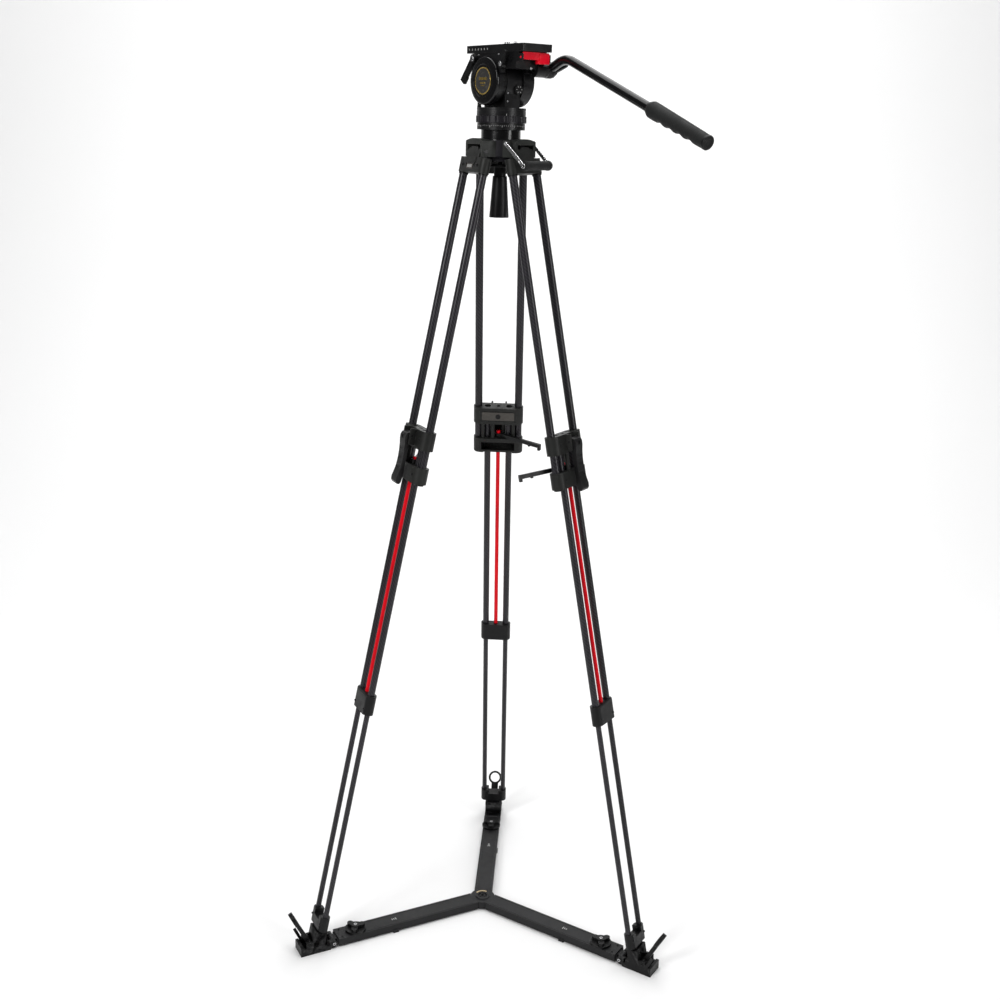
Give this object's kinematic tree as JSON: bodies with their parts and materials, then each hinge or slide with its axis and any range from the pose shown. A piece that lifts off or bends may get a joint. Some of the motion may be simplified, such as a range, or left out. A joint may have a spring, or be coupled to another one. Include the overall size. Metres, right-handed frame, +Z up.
{
  "type": "tripod with fluid head",
  "caption": "Camera tripod with twin-tube legs, ground spreader with foot trays, levelling bowl and pan-and-tilt fluid head with pan bar.",
  "frame": {"origin": "on the floor under the pan axis, at the middle of the spreader hub's foot pad", "axes": "+Z up along the pan axis; the rear leg points 86.6 degrees from +X, close to +Y"},
  "size_m": [0.7523, 0.7875, 1.751],
  "materials": {
    "casting": "textured grey paint",
    "carbon": "woven carbon fibre, clear coat",
    "black_anodised": "black anodised, fine satin",
    "black_plastic": "moulded black plastic",
    "gloss_black": "gloss black paint",
    "rubber": "dark grey moulded rubber",
    "red": "bright red moulded plastic",
    "red_rod": "red anodised rod",
    "chrome": "polished",
    "steel": "turned steel",
    "level": "clear vial with green liquid",
    "lever_grey": "textured grey plastic",
    "spreader": "dark anodised extrusion"
  },
  "bodies": {
    "root": {"crown": "casting", "hinge_pins": "steel"},
    "carry_handle": {"carry_arms": "chrome", "carry_grip": "rubber"},
    "ball": {"half_ball": "black_anodised", "graduated_ring": "black_anodised"},
    "tie_down": {"tie_down_handle": "black_plastic"},
    "pan_ring": {"pan_drag_ring": "black_plastic"},
    "pan": {"pan_housing": "black_anodised", "bubble_level": "level"},
    "pan_lock": {"pan_lock_lever": "black_plastic"},
    "counterbalance": {"counterbalance_knob": "black_plastic"},
    "tilt": {"tilt_housing": "black_anodised", "tilt_axle": "steel", "tilt_cap": "black_plastic", "rosette": "black_anodised"},
    "tilt_ring": {"tilt_drag_ring": "black_plastic"},
    "tilt_lock": {"tilt_lock_lever": "black_plastic"},
    "plate_lock": {"plate_lock_lever": "black_plastic"},
    "plate": {"camera_plate": "black_anodised", "camera_screws": "steel"},
    "release": {"release_lever": "red"},
    "bar": {"pan_bar": "gloss_black", "bar_grip": "rubber"},
    "wing": {"clamp_wing": "black_plastic"},
    "spreader": {"spreader_hub": "spreader", "arm_sleeves": "spreader"},
    "leg_1": {"leg_castings_1": "casting", "upper_tubes_1": "carbon"},
    "clamp_1": {"clamp_lever_1": "lever_grey"},
    "rod_lock_1": {"rod_lever_1": "black_plastic"},
    "mid_1": {"mid_stage_1": "carbon"},
    "rod_1": {"lock_rod_1": "red_rod"},
    "low_1": {"lower_stage_1": "carbon"},
    "arm_1": {"spreader_arm_1": "black_anodised"},
    "knob_1": {"arm_knob_1": "black_plastic"},
    "tray_1": {"foot_tray_1": "black_plastic"},
    "foot_lock_1": {"foot_lever_1": "black_plastic"},
    "leg_2": {"leg_castings_2": "casting", "upper_tubes_2": "carbon"},
    "clamp_2": {"clamp_lever_2": "lever_grey"},
    "rod_lock_2": {"rod_lever_2": "black_plastic"},
    "mid_2": {"mid_stage_2": "carbon"},
    "rod_2": {"lock_rod_2": "red_rod"},
    "low_2": {"lower_stage_2": "carbon"},
    "arm_2": {"spreader_arm_2": "black_anodised"},
    "knob_2": {"arm_knob_2": "black_plastic"},
    "tray_2": {"foot_tray_2": "black_plastic"},
    "foot_lock_2": {"foot_lever_2": "black_plastic"},
    "leg_3": {"leg_castings_3": "casting", "upper_tubes_3": "carbon"},
    "clamp_3": {"clamp_lever_3": "lever_grey"},
    "rod_lock_3": {"rod_lever_3": "black_plastic"},
    "mid_3": {"mid_stage_3": "carbon"},
    "rod_3": {"lock_rod_3": "red_rod"},
    "low_3": {"lower_stage_3": "carbon"},
    "arm_3": {"spreader_arm_3": "black_anodised"},
    "knob_3": {"arm_knob_3": "black_plastic"},
    "tray_3": {"foot_tray_3": "black_plastic"},
    "foot_lock_3": {"foot_lever_3": "black_plastic"}
  },
  "joints": [
    {"name": "carry_swing", "type": "hinge", "parent": "root", "child": "carry_handle", "pos_m": [0.03364, -0.02218, 1.5772], "axis": [-0.5505, -0.8348, 0], "range_deg": [0, 80]},
    {"name": "ball_level", "type": "hinge", "parent": "root", "child": "ball", "pos_m": [0, 0, 1.578], "axis": [0.6018, -0.7986, 0], "range_deg": [-8, 8]},
    {"name": "tie_down_turn", "type": "hinge", "parent": "ball", "child": "tie_down", "pos_m": [0, 0, 1.5], "axis": [0, 0, 1], "range_deg": [-180, 180]},
    {"name": "pan_drag", "type": "hinge", "parent": "ball", "child": "pan_ring", "pos_m": [0, 0, 1.619], "axis": [0, 0, 1], "range_deg": [0, 140]},
    {"name": "pan_turn", "type": "hinge", "parent": "ball", "child": "pan", "pos_m": [0, 0, 1.63], "axis": [0, 0, 1], "continuous": true},
    {"name": "pan_lock_turn", "type": "hinge", "parent": "pan", "child": "pan_lock", "pos_m": [-0.0402, 0.00494, 1.64], "axis": [0, 0, 1], "range_deg": [-35, 35]},
    {"name": "counterbalance_turn", "type": "hinge", "parent": "pan", "child": "counterbalance", "pos_m": [0.02805, -0.02394, 1.6705], "axis": [0.6018, -0.7986, 0], "range_deg": [-135, 135]},
    {"name": "tilt_turn", "type": "hinge", "parent": "pan", "child": "tilt", "pos_m": [0, 0, 1.684], "axis": [0.7986, 0.6018, 0], "range_deg": [-50, 45]},
    {"name": "tilt_drag", "type": "hinge", "parent": "tilt", "child": "tilt_ring", "pos_m": [-0.01757, -0.01324, 1.684], "axis": [0.7986, 0.6018, 0], "range_deg": [0, 140]},
    {"name": "tilt_lock_turn", "type": "hinge", "parent": "tilt", "child": "tilt_lock", "pos_m": [-0.00206, -0.06041, 1.712], "axis": [0.7986, 0.6018, 0], "range_deg": [-45, 25]},
    {"name": "plate_lock_turn", "type": "hinge", "parent": "tilt", "child": "plate_lock", "pos_m": [-0.0518, 0.00228, 1.722], "axis": [0.7986, 0.6018, 0], "range_deg": [0, 45]},
    {"name": "plate_slide", "type": "slide", "parent": "tilt", "child": "plate", "axis": [0.6018, -0.7986, 0], "range_m": [-0.035, 0.02]},
    {"name": "release_turn", "type": "hinge", "parent": "tilt", "child": "release", "pos_m": [0.05537, -0.07347, 1.722], "axis": [-0.7986, -0.6018, 0], "range_deg": [0, 35], "stiffness_Nm_per_rad": 0.05},
    {"name": "bar_angle", "type": "hinge", "parent": "tilt", "child": "bar", "pos_m": [0.08147, -0.03002, 1.704], "axis": [0.7986, 0.6018, 0], "range_deg": [-40, 25]},
    {"name": "wing_turn", "type": "hinge", "parent": "bar", "child": "wing", "pos_m": [0.09025, -0.02339, 1.704], "axis": [0.7986, 0.6018, 0], "range_deg": [0, 90]},
    {"name": "leg_spread_1", "type": "hinge", "parent": "root", "child": "leg_1", "pos_m": [0.00273, 0.04592, 1.562], "axis": [0.9982, -0.0593, 0], "range_deg": [0, 4]},
    {"name": "clamp_open_1", "type": "hinge", "parent": "leg_1", "child": "clamp_1", "pos_m": [0.01052, 0.17699, 1.05011], "axis": [0.9982, -0.0593, 0], "range_deg": [0, 100]},
    {"name": "rod_lock_turn_1", "type": "hinge", "parent": "leg_1", "child": "rod_lock_1", "pos_m": [0.00984, 0.16567, 0.99761], "axis": [0.0123, 0.2075, -0.9781], "range_deg": [0, 25]},
    {"name": "mid_slide_1", "type": "slide", "parent": "leg_1", "child": "mid_1", "axis": [-0.0123, -0.2075, 0.9781], "range_m": [0, 0.42]},
    {"name": "rod_turn_1", "type": "hinge", "parent": "mid_1", "child": "rod_1", "pos_m": [0.01259, 0.21196, 0.77948], "axis": [0.0123, 0.2075, -0.9781], "range_deg": [0, 25]},
    {"name": "low_slide_1", "type": "slide", "parent": "mid_1", "child": "low_1", "axis": [-0.0123, -0.2075, 0.9781], "range_m": [0, 0.42]},
    {"name": "leg_spread_2", "type": "hinge", "parent": "root", "child": "leg_2", "pos_m": [-0.04113, -0.0206, 1.562], "axis": [-0.4478, 0.8942, 0], "range_deg": [0, 4]},
    {"name": "clamp_open_2", "type": "hinge", "parent": "leg_2", "child": "clamp_2", "pos_m": [-0.15853, -0.07939, 1.05011], "axis": [-0.4478, 0.8942, 0], "range_deg": [0, 100]},
    {"name": "rod_lock_turn_2", "type": "hinge", "parent": "leg_2", "child": "rod_lock_2", "pos_m": [-0.1484, -0.07431, 0.99761], "axis": [-0.1859, -0.0931, -0.9781], "range_deg": [0, 25]},
    {"name": "mid_slide_2", "type": "slide", "parent": "leg_2", "child": "mid_2", "axis": [0.1859, 0.0931, 0.9781], "range_m": [0, 0.42]},
    {"name": "rod_turn_2", "type": "hinge", "parent": "mid_2", "child": "rod_2", "pos_m": [-0.18985, -0.09507, 0.77948], "axis": [-0.1859, -0.0931, -0.9781], "range_deg": [0, 25]},
    {"name": "low_slide_2", "type": "slide", "parent": "mid_2", "child": "low_2", "axis": [0.1859, 0.0931, 0.9781], "range_m": [0, 0.42]},
    {"name": "leg_spread_3", "type": "hinge", "parent": "root", "child": "leg_3", "pos_m": [0.0384, -0.02532, 1.562], "axis": [-0.5505, -0.8348, 0], "range_deg": [0, 4]},
    {"name": "clamp_open_3", "type": "hinge", "parent": "leg_3", "child": "clamp_3", "pos_m": [0.14802, -0.0976, 1.05011], "axis": [-0.5505, -0.8348, 0], "range_deg": [0, 100]},
    {"name": "rod_lock_turn_3", "type": "hinge", "parent": "leg_3", "child": "rod_lock_3", "pos_m": [0.13856, -0.09136, 0.99761], "axis": [0.1736, -0.1145, -0.9781], "range_deg": [0, 25]},
    {"name": "mid_slide_3", "type": "slide", "parent": "leg_3", "child": "mid_3", "axis": [-0.1736, 0.1145, 0.9781], "range_m": [0, 0.42]},
    {"name": "rod_turn_3", "type": "hinge", "parent": "mid_3", "child": "rod_3", "pos_m": [0.17726, -0.11688, 0.77948], "axis": [0.1736, -0.1145, -0.9781], "range_deg": [0, 25]},
    {"name": "low_slide_3", "type": "slide", "parent": "mid_3", "child": "low_3", "axis": [-0.1736, 0.1145, 0.9781], "range_m": [0, 0.42]},
    {"name": "spreader_rise", "type": "slide", "parent": "root", "child": "spreader", "axis": [0, 0, 1], "range_m": [0, 0.02493]},
    {"name": "arm_slide_1", "type": "slide", "parent": "spreader", "child": "arm_1", "axis": [0.0593, 0.9982, 0], "range_m": [0, 0.10797]},
    {"name": "knob_turn_1", "type": "hinge", "parent": "spreader", "child": "knob_1", "pos_m": [0.0172, 0.28949, 0.02], "axis": [0, 0, 1], "range_deg": [0, 180]},
    {"name": "tray_tilt_1", "type": "hinge", "parent": "arm_1", "child": "tray_1", "pos_m": [0.02028, 0.3414, 0.011], "axis": [0.9982, -0.0593, 0], "range_deg": [0, 4]},
    {"name": "foot_lock_turn_1", "type": "hinge", "parent": "tray_1", "child": "foot_lock_1", "pos_m": [0.02325, 0.39131, 0.022], "axis": [-0.9982, 0.0593, 0], "range_deg": [0, 30]},
    {"name": "arm_slide_2", "type": "slide", "parent": "spreader", "child": "arm_2", "axis": [-0.8942, -0.4478, 0], "range_m": [0, 0.10797]},
    {"name": "knob_turn_2", "type": "hinge", "parent": "spreader", "child": "knob_2", "pos_m": [-0.25931, -0.12985, 0.02], "axis": [0, 0, 1], "range_deg": [0, 180]},
    {"name": "tray_tilt_2", "type": "hinge", "parent": "arm_2", "child": "tray_2", "pos_m": [-0.3058, -0.15313, 0.011], "axis": [-0.4478, 0.8942, 0], "range_deg": [0, 4]},
    {"name": "foot_lock_turn_2", "type": "hinge", "parent": "tray_2", "child": "foot_lock_2", "pos_m": [-0.35051, -0.17552, 0.022], "axis": [0.4478, -0.8942, 0], "range_deg": [0, 30]},
    {"name": "arm_slide_3", "type": "slide", "parent": "spreader", "child": "arm_3", "axis": [0.8348, -0.5505, 0], "range_m": [0, 0.10797]},
    {"name": "knob_turn_3", "type": "hinge", "parent": "spreader", "child": "knob_3", "pos_m": [0.24211, -0.15964, 0.02], "axis": [0, 0, 1], "range_deg": [0, 180]},
    {"name": "tray_tilt_3", "type": "hinge", "parent": "arm_3", "child": "tray_3", "pos_m": [0.28552, -0.18826, 0.011], "axis": [-0.5505, -0.8348, 0], "range_deg": [0, 4]},
    {"name": "foot_lock_turn_3", "type": "hinge", "parent": "tray_3", "child": "foot_lock_3", "pos_m": [0.32726, -0.21579, 0.022], "axis": [0.5505, 0.8348, 0], "range_deg": [0, 30]}
  ],
  "couplings": [
    {"joint": "leg_spread_2", "follows": "leg_spread_1", "ratio": 1},
    {"joint": "leg_spread_3", "follows": "leg_spread_1", "ratio": 1},
    {"joint": "spreader_rise", "follows": "leg_spread_1", "m_per_rad": 0.34988},
    {"joint": "arm_slide_1", "follows": "leg_spread_1", "m_per_rad": 1.5394},
    {"joint": "tray_tilt_1", "follows": "leg_spread_1", "ratio": 1},
    {"joint": "rod_turn_1", "follows": "rod_lock_turn_1", "ratio": 1},
    {"joint": "arm_slide_2", "follows": "leg_spread_1", "m_per_rad": 1.5394},
    {"joint": "tray_tilt_2", "follows": "leg_spread_1", "ratio": 1},
    {"joint": "rod_turn_2", "follows": "rod_lock_turn_2", "ratio": 1},
    {"joint": "arm_slide_3", "follows": "leg_spread_1", "m_per_rad": 1.5394},
    {"joint": "tray_tilt_3", "follows": "leg_spread_1", "ratio": 1},
    {"joint": "rod_turn_3", "follows": "rod_lock_turn_3", "ratio": 1}
  ]
}
